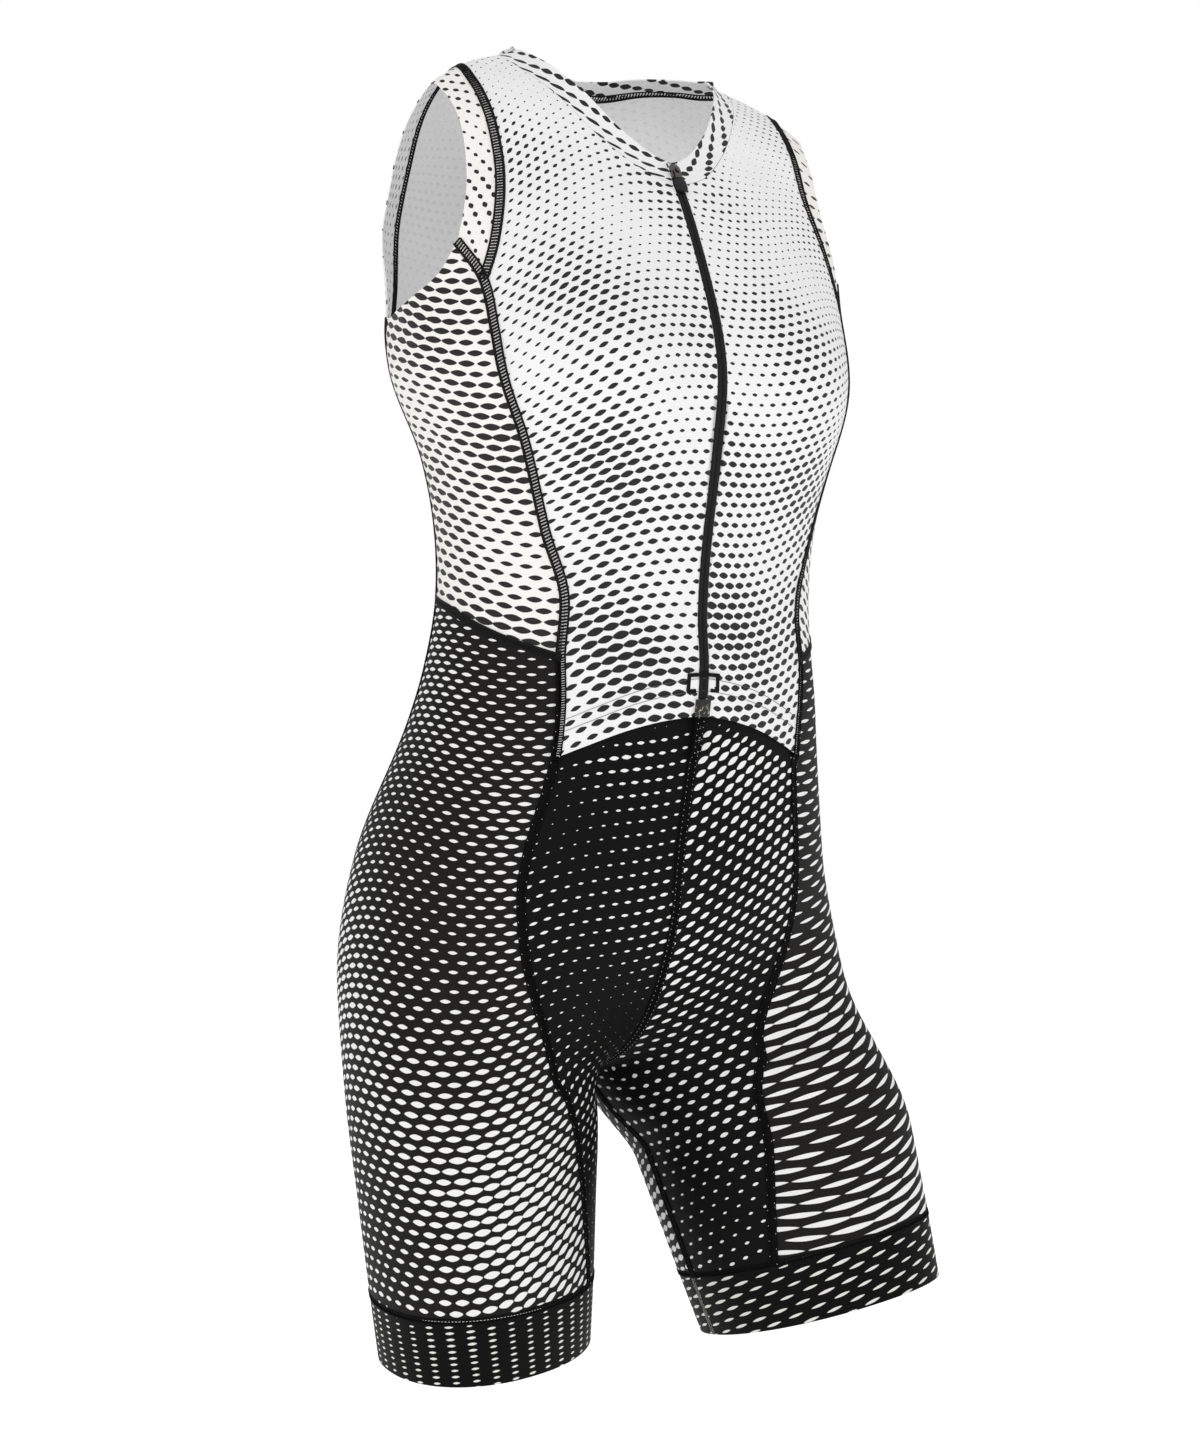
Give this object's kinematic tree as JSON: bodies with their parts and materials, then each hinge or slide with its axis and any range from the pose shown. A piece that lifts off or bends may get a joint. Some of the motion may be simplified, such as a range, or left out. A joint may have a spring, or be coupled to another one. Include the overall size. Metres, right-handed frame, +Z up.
{
  "type": "cycling skinsuit",
  "caption": "Sleeveless one-piece cycling skinsuit with a front zip, a low collar band and short legs, kept hollow in its worn form.",
  "frame": {"origin": "at the level of the shoulder straps, in the middle plane, on the axis of the trunk, where the wearer holds the garment up", "axes": "+Z up along the body, -Y to the front, +X to the wearer's left"},
  "size_m": [0.3875, 0.2703, 0.8618],
  "materials": {
    "front_knit": "matt white knit with a printed halftone of black dots",
    "side_knit": "warm white knit with printed black ellipses",
    "shorts_knit": "black knit with a low sheen and printed white dots",
    "leg_band": "black elastic band with printed white dashes",
    "zip_tape": "black woven tape",
    "zip_moulding": "black moulded plastic",
    "zip_metal": "plated metal"
  },
  "bodies": {
    "garment": {"front_left": "front_knit", "front_right": "front_knit", "back": "front_knit", "armhole_left": "side_knit", "armhole_right": "side_knit", "side_left": "side_knit", "side_right": "side_knit", "collar": "side_knit", "shorts_front_left": "shorts_knit", "shorts_front_right": "shorts_knit", "shorts_side_left": "shorts_knit", "shorts_side_right": "shorts_knit", "shorts_back_left": "shorts_knit", "shorts_back_right": "shorts_knit", "leg_band_left": "leg_band", "leg_band_right": "leg_band", "zip_tape_left": "zip_tape", "zip_tape_right": "zip_tape", "zip_coil": "zip_moulding", "zip_end": "zip_moulding", "zip_slider": "zip_metal"},
    "pull": {"zip_pull_ring": "zip_metal", "zip_pull_tab": "zip_moulding"}
  },
  "joints": [
    {"name": "pull_turn", "type": "hinge", "parent": "garment", "child": "pull", "pos_m": [0, -0.05764, -0.07578], "axis": [-1, 0, 0], "range_deg": [0, 160]}
  ]
}
